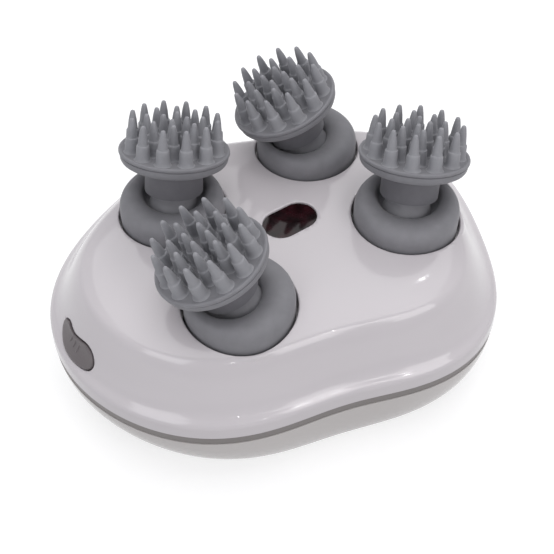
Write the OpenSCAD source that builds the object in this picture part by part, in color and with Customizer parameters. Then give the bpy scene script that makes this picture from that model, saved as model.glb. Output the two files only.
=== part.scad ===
// Electric scalp massager: a palm-sized oval housing that lies on its flat underside, with four
// turning hubs on top. Each hub carries a soft claw of pins on a leaning stem, so the claw kneads as
// the hub turns. One motor drives the four hubs through a spur gear train, and neighbours turn
// opposite ways, so that leaning claws never meet. Z is up, the button is at the -X end.

/* [Housing outline] */
// Mean radius of the housing at its seam
body_r = 54.3; // [54:0.1:60]
// Swelling that makes the outline oval
oval = 6.3; // [3:0.1:7.5]
// Turn of the long axis from the X axis
oval_turn = -11.5; // [-20:0.5:0]
// Swelling that makes the outline slightly three-cornered
corner_three = 1.35; // [0.5:0.05:2]
// Swelling that squares the outline
corner_four = 1.5; // [0:0.05:2]
// Swelling that draws in the waist on the near side
waist_five = 1.3; // [0:0.05:1.8]

/* [Housing height] */
// Height of the lower shell
lower_h = 18; // [17:0.1:24]
// Height of the trim band
trim_h = 2.4; // [1.6:0.1:3.5]
// Rise from the trim band to the edge of the top
crown_h = 18.7; // [17.5:0.1:23]
// Further rise to the middle of the top
dome_h = 1.3; // [0.5:0.1:2.5]
// Height of the upright wall above the trim band
brim_h = 4.4; // [3:0.1:6]
// Width from the seam to the edge of the top
slope_w = 10.2; // [9:0.1:11]
// Extra width of the slope on the far side
slope_extra = 6; // [4:0.1:7]
// Mean tuck of the lower shell, from its seam to its flat underside
tuck = 12.8; // [11.5:0.1:15]
// Thickness of the shells
wall = 2; // [1.6:0.1:2.4]
// Depth of the step in which the trim band lies
trim_step = 0.3; // [0.1:0.05:0.8]

/* [Hubs] */
// Radius of each round opening
opening_r = 14; // [13.6:0.1:14.4]
// Running gap round each hub
hub_gap = 0.6; // [0.4:0.05:1]
// Height of the hub's upright wall above the housing
hub_wall_h = 2; // [1:0.1:3]
// Height of the hub's rounded crest above that wall
hub_cap_h = 4.6; // [3.5:0.1:6]
// Radius of the bowl in the hub
bowl_r = 7.2; // [7:0.05:7.6]
// Rounding of the bowl's edge
bowl_edge = 2.2; // [1.5:0.1:2.6]
// Lean of the claw's stem
lean = 20.5; // [12:0.5:21]
// Radius of the stem
stem_r = 3.6; // [2.6:0.1:4.4]

/* [Claws] */
// Radius of the claw's disc
claw_r = 13.9; // [12.5:0.1:14]
// Thickness of the claw's disc with its skirt
claw_t = 4; // [3:0.1:5]
// Radius of the collar under the disc
collar_r = 7.4; // [6.6:0.1:7.5]
// Height of the collar
collar_h = 7.3; // [6:0.1:10]
// Radius of a pin at its foot
pin_r = 1.85; // [1.4:0.05:2]
// Height of a pin's cylindrical foot
pin_foot_h = 4.3; // [3:0.1:5]
// Height of a pin's tapered tip
pin_tip_h = 4.5; // [3:0.1:5.5]
// Pins in the outer ring
outer_pins = 12; // [10:1:14]
// Pins in the middle ring
middle_pins = 8; // [6:1:9]
// Pins in the inner ring
inner_pins = 4; // [3:1:5]

/* [Gear train] */
// Distance between paired hubs, as a share of the housing's mean radius
pair_share = 0.663; // [0.655:0.001:0.668]
// Teeth of each hub gear
hub_teeth = 36; // [34:2:36]
// Teeth of the small central gear
central_teeth = 22; // [22:1:24]
// Teeth of the large central wheel
wheel_teeth = 40; // [36:1:42]
// Teeth of the motor pinion
pinion_teeth = 12; // [11:1:14]
// Face width of a gear
gear_w = 3.5; // [2.5:0.1:4]
// Radius of the hub axles
axle_r = 1.5; // [1:0.1:2]
// Radius of the hub shafts
shaft_r = 4; // [3.4:0.1:4.6]
// Running clearance of shafts and axles
run_fit = 0.06; // [0.02:0.01:0.1]

/* [Button and window] */
// Length of the button along the housing
button_len = 15.6; // [12:0.1:17]
// Width of the button
button_w = 6.6; // [5:0.1:7.5]
// Travel of the button
button_travel = 0.8; // [0.4:0.1:1]
// Length of the light window
window_len = 15; // [11:0.5:17]
// Width of the light window
window_w = 9.4; // [7:0.2:11]

/* [Inside] */
// Radius of the motor's can
motor_r = 12.2; // [10:0.1:13]
// Height of the motor's can
motor_h = 11.2; // [9:0.1:11.6]
// Length of the battery
battery_len = 40; // [34:1:41]
// Width of the battery
battery_w = 24; // [20:1:25]
// Thickness of the battery
battery_t = 8.5; // [6:0.5:9]
// Radius of the case posts
post_r = 3.4; // [3:0.1:3.8]
// Radius of the screws
screw_r = 1.1; // [0.8:0.05:1.3]

/* [Hidden] */
$fn = 64;

// Levels: the wells hang from the top, and the gear train stands on the motor
trim_z = lower_h + trim_h;
crown_z = trim_z + crown_h;
top_z = crown_z + dome_h;
rim_sink = 0.4;
rim_z = top_z - rim_sink;
well_depth = 5.4;
well_z = rim_z - well_depth;
plate_t = 2;
level_gap = 0.5;
motor_z = wall + level_gap;
base_z = motor_z + motor_h;
base_top = base_z + plate_t;
gears_z = base_top + 1.2;
gears_top = gears_z + 2 * gear_w + level_gap;
wheel_z = gears_top + level_gap;
wheel_w = 2.8;
wheel_top = wheel_z + wheel_w;
cover_z = wheel_top + 1;
cover_top = cover_z + plate_t;

// Shape of the gear teeth, in modules and degrees, and the play in mesh in mm
pressure = 20;
tooth_top = 0.8;
tooth_root = 1.1;
backlash = 0.2;

// Gear centres, each worked out from the one that it meshes with; the module follows the housing
central = body_r * [0, 0.024];
pair_dist = body_r * pair_share;
gear_m = pair_dist / hub_teeth;
central_dist = gear_m * (hub_teeth + central_teeth) / 2;
motor_dist = gear_m * (wheel_teeth + pinion_teeth) / 2;
back_way = 37.9;
front_way = back_way + 180;
left_way = 84.6;
right_way = -81.3;
motor_way = -95;
function along(p, way, d) = [p.x + d * cos(way), p.y + d * sin(way)];
front_c = along(central, front_way, central_dist);
back_c = along(central, back_way, central_dist);
left_c = along(front_c, left_way, pair_dist);
right_c = along(back_c, right_way, pair_dist);
motor_c = along(central, motor_way, motor_dist);
hubs = [front_c, left_c, right_c, back_c];

// Lean of each claw's stem: counter-turning neighbours lean as mirror images of each other
lean_even = 137;
lean_odd = 44;

// A tooth's place in mesh: gear a with its first tooth at phase_a drives gear b, that lies at way
function meshed(way, phase_a, teeth_a, teeth_b) =
  way + 180 + 180 / teeth_b + (way - phase_a) * teeth_a / teeth_b;
front_phase = meshed(front_way, 0, central_teeth, hub_teeth);
back_phase = meshed(back_way, 0, central_teeth, hub_teeth);
left_phase = meshed(left_way, front_phase, hub_teeth, hub_teeth);
right_phase = meshed(right_way, back_phase, hub_teeth, hub_teeth);
pinion_phase = meshed(motor_way, 0, wheel_teeth, pinion_teeth);

// Posts that clamp the two shells and the gear plates together
posts = body_r * [[-0.755, 0.028], [0.212, -0.645], [0.018, 0.626], [0.801, 0.037]];
post_hole_r = screw_r + 0.3;
head_r = screw_r * 1.9;
head_fit = 0.2;
head_z = 5;
over = 1; // how far a cut runs on past the face that it opens

// ---------------------------------------------------------------- housing surfaces

// Plan outline of the seam: a circle with a few gentle swellings round it
outline_steps = 96;
function swell(a) = [[2, oval, oval_turn], [3, corner_three, 60.3], [4, corner_four, 19.7],
  [5, waist_five, 13.5]];
function outline_r(a) = body_r + sum([for (s = swell(a)) s[1] * cos(s[0] * (a - s[2]))]);
function outline_slope(a) = sum([for (s = swell(a)) -s[0] * s[1] * sin(s[0] * (a - s[2]))]);
function sum(v) = v * [for (x = v) 1];
function outline(a, inset) = let (
    r = outline_r(a), s = outline_slope(a), n = norm([r, s]))
  [r * cos(a) - inset * (r * cos(a) + s * sin(a)) / n,
   r * sin(a) - inset * (r * sin(a) - s * cos(a)) / n];
angles = [for (i = [0 : outline_steps - 1]) i * 360 / outline_steps];

// Section of the upper shell at angle a, as [inset from the seam, height above the trim band]:
// an upright wall, a small round shoulder and an ogee slope up to the edge of the top
shoulder_in = 1.9;
shoulder_h = brim_h + 0.7;
brim_rise = 0.56;
crown_rise = 0.12;
slope_steps = 9;
function slope_width(a) = slope_w + slope_extra * pow((1 + cos(a - 51)) / 2, 2);
function ogee(s) = brim_rise * (s * s * s - 2 * s * s + s) + 3 * s * s - 2 * s * s * s
  + crown_rise * (s * s * s - s * s);
function upper_section(a) = concat([[0, 0], [0.28, brim_h - 1.1], [0.84, brim_h - 0.1]],
  [for (i = [0 : slope_steps]) let (s = i / slope_steps)
    [shoulder_in + s * (slope_width(a) - shoulder_in),
     shoulder_h + (crown_h - shoulder_h) * ogee(s)]]);

// Section of the lower shell, as [inset, depth below the seam]: a quarter ellipse down to the flat
tuck_steps = 9;
function tuck_width(a) = tuck + 4.6 * cos(a - 163) + 7.3 * cos(2 * (a + 23));
function lower_section(a) = [for (i = [0 : tuck_steps]) let (t = 90 * i / tuck_steps)
  [trim_step / 2 + tuck_width(a) * (1 - cos(t)), lower_h * sin(t)]];

// The same section moved square to itself into the material by the wall's thickness
function inner_side(sec, t) = [for (i = [0 : len(sec) - 1]) let (
    p = sec[max(i - 1, 0)], q = sec[min(i + 1, len(sec) - 1)], d = (q - p) / norm(q - p))
  sec[i] + t * [d.y, -d.x]];

// Round each opening the housing rises to an even rim, as a cone that shows where the slope falls
// away from it
collar_top_r = opening_r + 0.9;
collar_z = crown_z - 0.7;
collar_flare = 0.24;
collar_foot_z = trim_z + shoulder_h + 0.5;
module rim_cone() rotate_extrude() polygon([[0, collar_foot_z],
  [collar_top_r + (collar_z - collar_foot_z) * collar_flare, collar_foot_z],
  [collar_top_r + 0.3, collar_z - 0.6], [collar_top_r - 0.1, collar_z], [0, collar_z]]);

// One closed skin from a list of rings, each with the same number of points, and two end points
function ring_faces(rings, n) = [for (k = [0 : rings - 2], i = [0 : n - 1]) let (j = (i + 1) % n)
  each [[k * n + i, k * n + j, (k + 1) * n + j], [k * n + i, (k + 1) * n + j, (k + 1) * n + i]]];
module skin(rings, first, last) {
  n = len(rings[0]);
  m = len(rings);
  points = concat([for (r = rings) each r], [first, last]);
  faces = concat(ring_faces(m, n),
    [for (i = [0 : n - 1]) [n * m, (i + 1) % n, i]],
    [for (i = [0 : n - 1]) [n * m + 1, (m - 1) * n + i, (m - 1) * n + (i + 1) % n]]);
  polyhedron(points, [for (f = faces) [f[2], f[1], f[0]]]);
}

// Solid under the upper shell's section, moved inwards by t; the dome closes it
dome_rings = [0.12, 0.3, 0.55, 0.8];
function section_ring(sections, i, up) = [for (j = [0 : outline_steps - 1])
  let (p = outline(angles[j], sections[j][i].x)) [p.x, p.y, max(up.x + up.y * sections[j][i].y, up.z)]];
module upper_solid(t) {
  sections = [for (a = angles) t == 0 ? upper_section(a) : inner_side(upper_section(a), t)];
  rings = [for (i = [0 : len(sections[0]) - 1]) section_ring(sections, i, [trim_z, 1, 0])];
  edge = rings[len(rings) - 1];
  domes = [for (s = dome_rings) [for (p = edge)
    [p.x * (1 - s), p.y * (1 - s), p.z + (top_z - t - p.z) * (1 - pow(1 - s, 2))]]];
  below = [for (p = rings[0]) [p.x, p.y, trim_z - 1]];
  skin(concat(t == 0 ? [] : [below], rings, domes),
    [0, 0, t == 0 ? trim_z : trim_z - 1], [0, 0, top_z - t]);
}

// Solid inside the lower shell's section, moved inwards by t
module lower_solid(t) {
  sections = [for (a = angles) t == 0 ? lower_section(a) : inner_side(lower_section(a), t)];
  rings = [for (i = [len(sections[0]) - 1 : -1 : 0]) section_ring(sections, i, [lower_h, -1, t])];
  above = [for (p = rings[len(rings) - 1]) [p.x, p.y, lower_h + 1]];
  skin(concat(rings, t == 0 ? [] : [above]),
    [0, 0, t], [0, 0, t == 0 ? lower_h : lower_h + 1]);
}

module seam_shape(inset) polygon([for (a = angles) outline(a, inset)]);

module slot(l, w) {
  for (s = [-1, 1]) translate([s * (l - w) / 2, 0]) circle(d = w);
  square([l - w, w], center = true);
}

// ---------------------------------------------------------------- places on the housing

window_c = body_r * [0.052, -0.02];
window_sink = 0.5;
window_fit = 0.1;
glue_gap = 0.15;
flange_w = 1.6;
flange_t = 1;
window_z = top_z - wall - flange_t - glue_gap;

// The button lies on the slope at the -X end and moves square to it
button_way = 175.8;
button_in = 3.7;
button_tilt = 54;
button_fit = 0.3;
button_proud = 1.1;
function button_spot() = let (p = outline(button_way, button_in),
    s = (button_in - shoulder_in) / (slope_width(button_way) - shoulder_in))
  [p.x, p.y, trim_z + shoulder_h + (crown_h - shoulder_h) * ogee(s)];
module at_button() translate(button_spot()) rotate([0, button_tilt, button_way]) rotate(90) children();
skin_depth = wall + 0.9;
flange_gap = 0.3;
flange_r = 1.2;
button_back = skin_depth + flange_gap + flange_t;
switch_gap = button_travel + 0.05;
switch_h = 2.2;
board_t = 1;
switch_board_at = button_back + switch_gap + switch_h;
switch_post_r = 1.5;
switch_post_x = button_len / 2 + flange_r + button_fit + switch_post_r + 0.6;

// Outline of the button, a drop bent like a bean: a smooth closed curve through these points, given
// as shares of half its length and half its width
button_marks = [[-1, 0.14], [-0.96, 0.5], [-0.71, 0.76], [-0.49, 0.64], [-0.22, 0.56], [0.13, 0.77],
  [0.46, 1], [0.72, 0.94], [0.89, 0.64], [1, 0.18], [0.95, -0.36], [0.74, -0.7], [0.27, -0.97],
  [-0.19, -1], [-0.59, -0.77], [-0.89, -0.3]];
mark_steps = 4;
function mark(i) = let (m = button_marks[i % len(button_marks)]) [m.x * button_len, m.y * button_w] / 2;
function curve_point(i, t) = let (a = mark(i), b = mark(i + 1), c = mark(i + 2), d = mark(i + 3))
  (2 * b + (c - a) * t + (2 * a - 5 * b + 4 * c - d) * t * t + (3 * b - a - 3 * c + d) * t * t * t) / 2;
button_curve = [for (i = [0 : len(button_marks) - 1], k = [0 : mark_steps - 1])
  curve_point(i, k / mark_steps)];

// The same outline grown by a clearance or a flange
module drop_shape(grow) {
  n = len(button_curve);
  polygon([for (i = [0 : n - 1]) let (d = button_curve[(i + 1) % n] - button_curve[(i + n - 1) % n])
    button_curve[i] + grow * [-d.y, d.x] / norm(d)]);
}

module at_hubs() for (h = hubs) translate([h.x, h.y, 0]) children();
module at_posts() for (p = posts) translate([p.x, p.y, 0]) children();
module at_contacts() for (s = [-1, 1]) translate([contact_c.x, contact_c.y + s * contact_pitch / 2, 0])
  children();

// ---------------------------------------------------------------- fixed parts

// Room for the hub gears where they pass close to the shells' inner sides
relief_r = gear_m * (hub_teeth / 2 + tooth_top) + 0.4;
room_gap = 0.5;
module gear_room() at_hubs() translate([0, 0, gears_z - room_gap])
  cylinder(r = relief_r, h = gears_top - gears_z + 2 * room_gap);

// White lower shell: a tub with a flat underside, four screw posts, battery ribs and two pillars
rib_h = 5;
rib_t = 1.4;
rib_l = 4;
pillar_r = 1.8;
pillar_in = 2.5;
battery_c = body_r * [-0.037, 0.276];
contact_c = body_r * [0.516, 0.074];
contact_pitch = 6;
contact_r = 1.5;
module lower_shell() {
  color("white")
  difference() {
    union() {
      difference() {
        lower_solid(0);
        lower_solid(wall);
        gear_room();
      }
      at_posts() translate([0, 0, wall / 2]) cylinder(r = post_r, h = base_z - wall / 2);
      translate([battery_c.x, battery_c.y, wall / 2]) battery_ribs();
      translate([board_c.x, board_c.y, wall / 2]) for (y = [-1, 1])
        translate([0, y * (board_l / 2 - pillar_in), 0]) cylinder(r = pillar_r, h = board_z - wall / 2);
    }
    at_posts() translate([0, 0, -over]) {
      cylinder(r = post_hole_r, h = base_z + 2 * over);
      cylinder(r = head_r + head_fit, h = head_z + over);
    }
    at_contacts() translate([0, 0, -over]) cylinder(r = contact_r, h = wall + 2 * over);
  }
}

// Low ribs at the battery's corners hold it in place on the floor
module battery_ribs() {
  for (x = [-1, 1], y = [-1, 1]) translate([x * battery_len / 2, y * battery_w / 2, 0]) {
    translate([x > 0 ? 0 : -rib_t, y > 0 ? -rib_l : 0, 0]) cube([rib_t, rib_l, rib_h]);
    translate([x > 0 ? -rib_l : -rib_t, y > 0 ? 0 : -rib_t, 0]) cube([rib_l + rib_t, rib_t, rib_h]);
  }
}

// Grey band that lies in the seam between the two shells
band_w = 1.8;
module trim_band() {
  color("dimgray") translate([0, 0, lower_h]) linear_extrude(trim_h) difference() {
    seam_shape(trim_step);
    seam_shape(trim_step + band_w);
    for (h = hubs) translate(h) circle(r = relief_r);
  }
}

// White upper shell: the domed top with four wells for the hubs, the window's slot and the button's
// hole, and short posts that take the case screws
screw_end = well_z + 2.2;
well_wall = 1.6;
shaft_hole_fit = 0.4;
module upper_shell() {
  color("white")
  difference() {
    union() {
      upper_solid(0);
      at_hubs() rim_cone();
    }
    difference() {
      upper_solid(wall);
      at_hubs() translate([0, 0, cover_top]) cylinder(r = opening_r + well_wall, h = top_z);
      at_posts() translate([0, 0, cover_top]) cylinder(r = post_r, h = top_z);
      at_button() for (x = [-1, 1]) translate([x * switch_post_x, 0, -switch_board_at])
        cylinder(r = switch_post_r, h = switch_board_at);
    }
    gear_room();
    at_hubs() translate([0, 0, well_z]) cylinder(r = opening_r, h = top_z);
    at_hubs() translate([0, 0, well_z - seal_t]) cylinder(r = seal_r, h = seal_t + over);
    at_hubs() translate([0, 0, cover_top - over])
      cylinder(r = shaft_r + shaft_hole_fit, h = well_z - cover_top + over);
    at_posts() translate([0, 0, cover_top - over]) cylinder(r = screw_r, h = screw_end - cover_top + over);
    translate([window_c.x, window_c.y, cover_top + over]) linear_extrude(top_z) slot(window_len, window_w);
    at_button() {
      translate([0, 0, -switch_board_at]) linear_extrude(2 * switch_board_at) drop_shape(button_fit);
      translate([0, 0, -switch_board_at]) linear_extrude(switch_board_at - skin_depth)
        drop_shape(flange_r + button_fit);
    }
  }
}

// Dark red window over the lights, set just below the top, with a flange under the shell
module light_window() {
  color("darkred") translate([window_c.x, window_c.y, 0]) {
    translate([0, 0, window_z]) linear_extrude(flange_t)
      slot(window_len + 2 * flange_w, window_w + 2 * flange_w);
    translate([0, 0, window_z]) linear_extrude(top_z - window_sink - window_z)
      slot(window_len - 2 * window_fit, window_w - 2 * window_fit);
  }
}

// Both gear plates: an eye at each gear centre and post, joined by arms to the middle
arm_w = 8;
middle_r = 9;
eye_w = 4.5;
module arm_to(p) {
  d = p - central;
  translate([central.x, central.y]) rotate(atan2(d.y, d.x)) translate([0, -arm_w / 2])
    square([norm(d), arm_w]);
}
module plate_shape(eye_r) {
  for (h = hubs) translate(h) circle(r = eye_r);
  for (p = posts) translate(p) circle(r = post_r + level_gap);
  for (p = concat(hubs, posts)) arm_to(p);
  translate(central) circle(r = middle_r);
}

// Base plate: carries the axles, the gearbox posts and the motor below
axle_post_r = axle_r + 2.3;
bearing_gap = 0.4;
spigot_r = 3;
spigot_h = 0.6;
module base_plate() {
  color("silver")
  difference() {
    union() {
      translate([0, 0, base_z]) linear_extrude(plate_t) {
        plate_shape(axle_post_r + 1.6);
        translate(motor_c) circle(r = motor_r + level_gap);
        arm_to(motor_c);
      }
      at_hubs() translate([0, 0, base_z]) cylinder(r = axle_post_r, h = gears_z - bearing_gap - base_z);
      at_posts() translate([0, 0, base_z]) cylinder(r = post_r, h = cover_z - base_z);
      translate([central.x, central.y, base_z]) cylinder(r = spigot_r, h = plate_t + spigot_h);
    }
    at_hubs() translate([0, 0, base_z - over]) cylinder(r = axle_r, h = top_z);
    at_posts() translate([0, 0, base_z - over]) cylinder(r = post_hole_r, h = top_z);
    translate([central.x, central.y, base_z - over]) cylinder(r = central_axle_r, h = top_z);
    translate([motor_c.x, motor_c.y, base_z - over]) cylinder(r = motor_boss_r, h = plate_t + 2 * over);
  }
}

// Cover plate: bears the hub shafts and carries the light board
seal_r = shaft_r + 2.4;
seal_t = 1.2;
module cover_plate() {
  color("silver")
  difference() {
    translate([0, 0, cover_z]) linear_extrude(plate_t) plate_shape(shaft_r + eye_w);
    at_hubs() translate([0, 0, cover_z - over]) cylinder(r = shaft_r + run_fit, h = plate_t + 2 * over);
    at_posts() translate([0, 0, cover_z - over]) cylinder(r = post_hole_r, h = plate_t + 2 * over);
    translate([central.x, central.y, cover_z - over]) cylinder(r = central_axle_r, h = plate_t + 2 * over);
  }
}

// Rubber seals round the four shafts, in the floors of the wells
module shaft_seals() {
  color("black") at_hubs() translate([0, 0, well_z - seal_t]) difference() {
    cylinder(r = seal_r, h = seal_t);
    translate([0, 0, -over]) cylinder(r = shaft_r + run_fit, h = seal_t + 2 * over);
  }
}

// Four steel axles, pressed into the base plate
axle_top = cover_top;
module hub_axles() {
  color("gainsboro") at_hubs() translate([0, 0, base_z]) cylinder(r = axle_r, h = axle_top - base_z);
}

central_axle_r = 1;
module central_axle() {
  color("gainsboro") translate([central.x, central.y, base_z])
    cylinder(r = central_axle_r, h = cover_top - base_z);
}

// Flat motor that hangs under the base plate, with a bearing boss in the plate's hole
motor_boss_r = 3;
motor_shaft_r = 1;
motor_bore_z = motor_z + 1;
shaft_end_gap = 0.4;
module motor() {
  color("silver") translate([motor_c.x, motor_c.y, 0]) difference() {
    union() {
      translate([0, 0, motor_z]) cylinder(r = motor_r, h = motor_h);
      translate([0, 0, base_z - over]) cylinder(r = motor_boss_r - run_fit, h = plate_t + over);
    }
    translate([0, 0, motor_bore_z]) cylinder(r = motor_shaft_r + run_fit, h = motor_h + plate_t);
  }
}

module battery() {
  color("cornflowerblue") translate([battery_c.x, battery_c.y, wall]) linear_extrude(battery_t)
    square([battery_len, battery_w], center = true);
}

// Control board on two pillars beside the battery, cut out round the case post
board_c = body_r * [-0.7, 0];
board_l = 28;
board_w = 13;
board_z = 7;
chip = [6, 4.5, 1.6];
chip_spots = [[1, -8.5], [1, 7.5]];
post_notch = 0.4;
module circuit_board() {
  color("darkgreen") translate([0, 0, board_z]) difference() {
    union() {
      translate([board_c.x, board_c.y, 0]) linear_extrude(board_t)
        square([board_w, board_l], center = true);
      for (c = chip_spots) translate([board_c.x + c.x, board_c.y + c.y, board_t / 2])
        linear_extrude(chip.z) square([chip.x, chip.y], center = true);
    }
    translate([posts[0].x, posts[0].y, -over]) cylinder(r = post_r + post_notch, h = board_t + chip.z + over);
  }
}

// Light board on the cover plate, under the window
led_board_l = 14;
led_board_w = 8;
led_h = 1.2;
led_case = [2.8, 2, 0.8];
led_lens_r = 0.8;
led_step = 4.4;
led_back = 1.6;
led_board_z = cover_top;
module led_board() {
  color("darkgreen") translate([window_c.x, window_c.y, led_board_z]) linear_extrude(board_t)
    square([led_board_l, led_board_w], center = true);
}
module leds() {
  color("firebrick") for (i = [-1 : 1])
    translate([window_c.x + i * led_step, window_c.y - led_back, led_board_z + board_t]) {
      translate([-led_case.x / 2, -led_case.y / 2, 0]) cube(led_case);
      cylinder(r = led_lens_r, h = led_h);
    }
}

// Switch board on the two small posts behind the button, with its push switch
switch_board_w = 6;
module switch_board() {
  color("darkgreen") at_button() translate([0, 0, -switch_board_at - board_t])
    linear_extrude(board_t) slot(2 * (switch_post_x + switch_post_r), switch_board_w);
}
switch_case = [4.4, 4.4, 1.4];
plunger_r = 1.1;
module tact_switch() {
  color("dimgray") at_button() translate([0, 0, -switch_board_at]) {
    translate([-switch_case.x / 2, -switch_case.y / 2, 0]) cube(switch_case);
    cylinder(r = plunger_r, h = switch_h);
  }
}

// Two charging contacts, set a little into the underside, each with a head inside the shell
contact_sink = 0.3;
contact_head = [0.8, 0.8];
module charge_contacts() {
  color("gold") at_contacts() {
    translate([0, 0, contact_sink]) cylinder(r = contact_r, h = wall - contact_sink);
    translate([0, 0, wall]) cylinder(r = contact_r + contact_head.x, h = contact_head.y);
  }
}

// Four case screws, each through both plates into the upper shell, and the plugs under their heads
head_h = 1.6;
module case_screws() {
  color("gray") at_posts() {
    translate([0, 0, head_z - head_h]) cylinder(r = head_r, h = head_h);
    translate([0, 0, head_z - head_h / 2]) cylinder(r = screw_r, h = screw_end - head_z);
  }
}
plug_h = 1.8;
plug_sink = 0.2;
module screw_plugs() {
  color("lightgray") at_posts() translate([0, 0, plug_sink])
    cylinder(r = head_r + head_fit, h = plug_h);
}

// ---------------------------------------------------------------- button

// Grey button with a gently domed top, kept in by the flange under the shell
cap_ball_r = 26;
module button() {
  color("dimgray") at_button() {
    intersection() {
      translate([0, 0, -button_back]) linear_extrude(button_back + button_proud) drop_shape(0);
      translate([0, 0, button_proud - cap_ball_r]) sphere(r = cap_ball_r);
    }
    translate([0, 0, -button_back]) linear_extrude(flange_t) drop_shape(flange_r);
  }
}

// ---------------------------------------------------------------- turning parts

// Involute gear with its first tooth at angle phase; light_holes is a ring of holes in its web
flank_steps = 3;
holes = 6;
hole_share = 0.32;
module light_holes(teeth, r, h) for (i = [0 : holes - 1]) rotate(i * 360 / holes)
  translate([gear_m * teeth * hole_share, 0, 0]) cylinder(r = r * gear_m, h = h);
function inv(a) = tan(a) * 180 / PI - a;
function half_tooth(r, rp, rb) = 90 * (PI * gear_m / 2 - backlash) / (PI * rp)
  + inv(pressure) - inv(acos(min(1, rb / max(r, rb))));
module gear_shape(teeth, phase) {
  rp = gear_m * teeth / 2;
  rb = rp * cos(pressure);
  tip = rp + tooth_top * gear_m;
  root = rp - tooth_root * gear_m;
  low = max(rb, root + 0.1);
  radii = concat([root], [for (i = [0 : flank_steps]) low + (tip - low) * i / flank_steps]);
  polygon([for (k = [0 : teeth - 1]) let (a = phase + k * 360 / teeth) each concat(
    [for (r = radii) let (h = half_tooth(r, rp, rb)) r * [cos(a - h), sin(a - h)]],
    [for (i = [len(radii) - 1 : -1 : 0]) let (r = radii[i], h = half_tooth(r, rp, rb))
      r * [cos(a + h), sin(a + h)]])]);
}

// Hub gear on its hollow shaft, whose two flats drive the hub; tall gears reach the central gear
hub_z = well_z + level_gap;
drive_h = 2;
drive_fit = 0.05;
flat = 0.78;
module drive_end(r) intersection() {
  circle(r = r);
  square([2 * r, 2 * r * flat], center = true);
}
module hub_gear(c, phase, tall) {
  color("ivory") translate([c.x, c.y, 0]) difference() {
    union() {
      translate([0, 0, gears_z]) linear_extrude(tall ? gears_top - gears_z : gear_w)
        gear_shape(hub_teeth, phase);
      translate([0, 0, gears_z]) cylinder(r = shaft_r, h = hub_z + drive_h - gears_z);
    }
    for (turn = [0, 180]) rotate(turn) translate([-shaft_r - over, shaft_r * flat, hub_z])
      cube([2 * (shaft_r + over), shaft_r, drive_h + over]);
    translate([0, 0, gears_z - over])
      cylinder(r = axle_r + run_fit, h = axle_top + bearing_gap - gears_z + over);
    translate([0, 0, gears_z - over]) light_holes(hub_teeth, 2.6, gears_top - gears_z + 2 * over);
  }
}

// Grey hub: a round dome with an off-centre bowl, out of which the leaning stem rises
hub_r = opening_r - hub_gap;
cap_z = rim_z + hub_wall_h;
cap_power = 2.6;
pivot_z = rim_z - 1.4;
bowl_shift = 2.8;
bowl_z = rim_z + 1.7;
neck_r = collar_r - 1.8;
collar_at = 6.9;
stem_end = 5.8;
dome_steps = 14;
foot_edge = 0.6;
module dome_profile() polygon(concat([[0, hub_z], [hub_r - foot_edge, hub_z], [hub_r, hub_z + foot_edge]],
  [for (i = [0 : dome_steps]) let (t = i * 90 / dome_steps, c = pow(cos(t), 2 / cap_power),
    s = pow(sin(t), 2 / cap_power)) [i == dome_steps ? 0 : hub_r * c, cap_z + hub_cap_h * s]]));
edge_steps = 6;
crest_cut = 0.7;
bowl_top = cap_z + hub_cap_h + hub_r;
module bowl_profile() polygon(concat([[0, bowl_z], [bowl_r - 1, bowl_z], [bowl_r - 0.3, bowl_z + 0.3],
  [bowl_r, bowl_z + 1]], [for (i = [0 : edge_steps]) let (t = i * 90 / edge_steps)
    [bowl_r + bowl_edge * (1 - cos(t)), cap_z + hub_cap_h - crest_cut - bowl_edge * (1 - sin(t))]],
  [[bowl_r + bowl_edge, bowl_top], [0, bowl_top]]));
stem_foot = 0.9;
module stem_profile() polygon([[0, stem_foot], [neck_r + 0.8, stem_foot], [neck_r + 0.3, stem_foot + 1.6],
  [neck_r, stem_foot + 3.2], [neck_r, collar_at], [stem_r, collar_at], [stem_r, collar_at + stem_end],
  [0, collar_at + stem_end]]);
module leaning(way) translate([0, 0, pivot_z]) rotate([0, lean, way]) children();
module hub(c, way) {
  color("gray") translate([c.x, c.y, 0]) difference() {
    union() {
      difference() {
        rotate_extrude() dome_profile();
        rotate(way) translate([bowl_shift, 0, 0]) rotate(180) rotate_extrude() bowl_profile();
      }
      leaning(way) rotate(90) rotate_extrude() stem_profile();
    }
    translate([0, 0, hub_z - over]) linear_extrude(drive_h + over + drive_fit)
      drive_end(shaft_r + drive_fit);
  }
}

// Soft claw: collar, disc with a lipped rim, and rings of pins
disc_z = collar_at + collar_h;
face_z = disc_z + claw_t;
lip_r = 0.35;
module claw_profile() polygon([[0, collar_at], [collar_r - 0.3, collar_at], [collar_r, collar_at + 0.3],
  [collar_r, collar_at + 0.8], [collar_r - 0.25, collar_at + 1.1], [collar_r - 0.25, disc_z - 0.8],
  [collar_r + 0.15, disc_z - 0.2], [collar_r + 0.9, disc_z], [claw_r - 2.4, disc_z + 0.4],
  [claw_r - 1, disc_z + 1], [claw_r - 0.4, disc_z + 1.9], [claw_r - 0.25, face_z - 1.3],
  [claw_r - 0.6, face_z - 1.15], [claw_r - 0.6, face_z - 1], [claw_r, face_z - 0.85],
  [claw_r, face_z - lip_r], [claw_r - 0.1, face_z - 0.1], [claw_r - lip_r, face_z],
  [claw_r - 0.9, face_z - 0.05], [claw_r - 1.2, face_z - 0.25], [0, face_z - 0.25]]);
tip_r = 0.5;
module pin_profile() polygon(concat([[0, -0.5], [pin_r + 0.1, -0.5], [pin_r, 0],
  [pin_r * 0.87, pin_foot_h - 0.15], [pin_r * 0.82, pin_foot_h], [pin_r * 0.66, pin_foot_h + 0.1]],
  [for (i = [0 : 4]) let (t = i * 90 / 4) [i == 4 ? 0 : tip_r * cos(t),
    pin_foot_h + pin_tip_h - tip_r + tip_r * sin(t)]]));
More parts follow.
